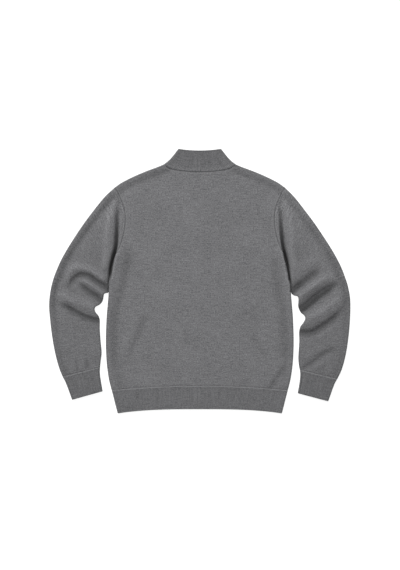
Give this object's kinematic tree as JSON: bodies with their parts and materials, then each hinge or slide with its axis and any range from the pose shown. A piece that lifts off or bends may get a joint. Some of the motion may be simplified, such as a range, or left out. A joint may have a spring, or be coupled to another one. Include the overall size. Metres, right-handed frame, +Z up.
{
  "type": "knit cardigan",
  "caption": "Grey knit cardigan laid flat, back upwards, with bent sleeves, rib cuffs, a rib hem and a stand-up rib collar.",
  "frame": {"origin": "centre of the laid-out garment's outline, on the surface it rests on", "axes": "+X towards the wearer's right sleeve, +Y towards the collar, +Z up from the surface, out of the back panel"},
  "size_m": [0.864, 0.7588, 0.0156],
  "materials": {
    "jersey": "matt heathered fine jersey knit",
    "rib": "matt heathered fine rib knit"
  },
  "bodies": {
    "root": {"back": "jersey", "front_left": "jersey", "front_right": "jersey", "sleeve_left": "jersey", "sleeve_right": "jersey", "cuff_left": "rib", "cuff_right": "rib", "hem_rib": "rib", "collar": "rib"}
  },
  "joints": []
}
